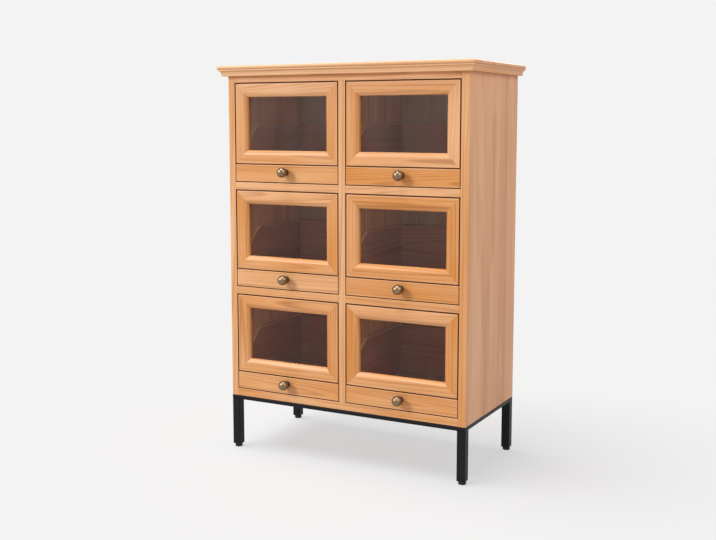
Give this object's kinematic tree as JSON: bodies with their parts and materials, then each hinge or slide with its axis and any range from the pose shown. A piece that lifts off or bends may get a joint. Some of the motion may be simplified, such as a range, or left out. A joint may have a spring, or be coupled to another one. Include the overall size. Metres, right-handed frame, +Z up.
{
  "type": "apothecary chest",
  "caption": "Free-standing pine chest on a black steel base; pulling a low drawer by its knob lifts the glazed flap above it.",
  "frame": {"origin": "on the floor, under the middle of the part's bounding box", "axes": "+Z up; +X to the right seen from the front; +Y towards the back, so drawers pull towards -Y"},
  "size_m": [0.806, 0.408, 1.14],
  "materials": {
    "pine_case": "satin honey-stained pine",
    "pine_front": "satin honey-stained pine",
    "drawer_wood": "unfinished pale wood",
    "antique_brass": "aged, polished on the crown",
    "flap_glass": "clear float glass",
    "black_steel": "satin black powder coat",
    "pivot_steel": "drawn rod",
    "foot_rubber": "matt black"
  },
  "bodies": {
    "case": {"base_frame": "black_steel", "foot_front_left": "foot_rubber", "foot_front_right": "foot_rubber", "foot_back_left": "foot_rubber", "foot_back_right": "foot_rubber", "side_left": "pine_case", "side_right": "pine_case", "stile_left": "pine_case", "stile_right": "pine_case", "rail_bottom": "pine_case", "rail_lower": "pine_case", "rail_upper": "pine_case", "rail_top": "pine_case", "mullion": "pine_case", "partition": "pine_case", "bottom_board": "pine_case", "shelf_lower": "pine_case", "shelf_upper": "pine_case", "back_panel": "pine_case", "top_board": "pine_case", "cornice_front": "pine_case", "cornice_left": "pine_case", "cornice_right": "pine_case"},
    "drawer_bottom_left": {"drawer_front_bottom_left": "pine_front", "drawer_box_bottom_left": "drawer_wood", "knob_bottom_left": "antique_brass"},
    "flap_bottom_left": {"flap_frame_bottom_left": "pine_front", "flap_glass_bottom_left": "flap_glass", "flap_rod_bottom_left": "pivot_steel"},
    "drawer_bottom_right": {"drawer_front_bottom_right": "pine_front", "drawer_box_bottom_right": "drawer_wood", "knob_bottom_right": "antique_brass"},
    "flap_bottom_right": {"flap_frame_bottom_right": "pine_front", "flap_glass_bottom_right": "flap_glass", "flap_rod_bottom_right": "pivot_steel"},
    "drawer_middle_left": {"drawer_front_middle_left": "pine_front", "drawer_box_middle_left": "drawer_wood", "knob_middle_left": "antique_brass"},
    "flap_middle_left": {"flap_frame_middle_left": "pine_front", "flap_glass_middle_left": "flap_glass", "flap_rod_middle_left": "pivot_steel"},
    "drawer_middle_right": {"drawer_front_middle_right": "pine_front", "drawer_box_middle_right": "drawer_wood", "knob_middle_right": "antique_brass"},
    "flap_middle_right": {"flap_frame_middle_right": "pine_front", "flap_glass_middle_right": "flap_glass", "flap_rod_middle_right": "pivot_steel"},
    "drawer_top_left": {"drawer_front_top_left": "pine_front", "drawer_box_top_left": "drawer_wood", "knob_top_left": "antique_brass"},
    "flap_top_left": {"flap_frame_top_left": "pine_front", "flap_glass_top_left": "flap_glass", "flap_rod_top_left": "pivot_steel"},
    "drawer_top_right": {"drawer_front_top_right": "pine_front", "drawer_box_top_right": "drawer_wood", "knob_top_right": "antique_brass"},
    "flap_top_right": {"flap_frame_top_right": "pine_front", "flap_glass_top_right": "flap_glass", "flap_rod_top_right": "pivot_steel"}
  },
  "joints": [
    {"name": "drawer_bottom_left_slide", "type": "slide", "parent": "case", "child": "drawer_bottom_left", "axis": [0, -1, 0], "range_m": [0, 0.25]},
    {"name": "flap_bottom_left_hinge", "type": "hinge", "parent": "case", "child": "flap_bottom_left", "pos_m": [-0.1835, -0.161, 0.4605], "axis": [-1, 0, 0], "range_deg": [0, 60]},
    {"name": "drawer_bottom_right_slide", "type": "slide", "parent": "case", "child": "drawer_bottom_right", "axis": [0, -1, 0], "range_m": [0, 0.25]},
    {"name": "flap_bottom_right_hinge", "type": "hinge", "parent": "case", "child": "flap_bottom_right", "pos_m": [0.1835, -0.161, 0.4605], "axis": [-1, 0, 0], "range_deg": [0, 60]},
    {"name": "drawer_middle_left_slide", "type": "slide", "parent": "case", "child": "drawer_middle_left", "axis": [0, -1, 0], "range_m": [0, 0.25]},
    {"name": "flap_middle_left_hinge", "type": "hinge", "parent": "case", "child": "flap_middle_left", "pos_m": [-0.1835, -0.161, 0.7705], "axis": [-1, 0, 0], "range_deg": [0, 60]},
    {"name": "drawer_middle_right_slide", "type": "slide", "parent": "case", "child": "drawer_middle_right", "axis": [0, -1, 0], "range_m": [0, 0.25]},
    {"name": "flap_middle_right_hinge", "type": "hinge", "parent": "case", "child": "flap_middle_right", "pos_m": [0.1835, -0.161, 0.7705], "axis": [-1, 0, 0], "range_deg": [0, 60]},
    {"name": "drawer_top_left_slide", "type": "slide", "parent": "case", "child": "drawer_top_left", "axis": [0, -1, 0], "range_m": [0, 0.25]},
    {"name": "flap_top_left_hinge", "type": "hinge", "parent": "case", "child": "flap_top_left", "pos_m": [-0.1835, -0.161, 1.0805], "axis": [-1, 0, 0], "range_deg": [0, 60]},
    {"name": "drawer_top_right_slide", "type": "slide", "parent": "case", "child": "drawer_top_right", "axis": [0, -1, 0], "range_m": [0, 0.25]},
    {"name": "flap_top_right_hinge", "type": "hinge", "parent": "case", "child": "flap_top_right", "pos_m": [0.1835, -0.161, 1.0805], "axis": [-1, 0, 0], "range_deg": [0, 60]}
  ],
  "couplings": [
    {"joint": "flap_bottom_left_hinge", "follows": "drawer_bottom_left_slide", "rad_per_m": 4.1888},
    {"joint": "flap_bottom_right_hinge", "follows": "drawer_bottom_right_slide", "rad_per_m": 4.1888},
    {"joint": "flap_middle_left_hinge", "follows": "drawer_middle_left_slide", "rad_per_m": 4.1888},
    {"joint": "flap_middle_right_hinge", "follows": "drawer_middle_right_slide", "rad_per_m": 4.1888},
    {"joint": "flap_top_left_hinge", "follows": "drawer_top_left_slide", "rad_per_m": 4.1888},
    {"joint": "flap_top_right_hinge", "follows": "drawer_top_right_slide", "rad_per_m": 4.1888}
  ]
}
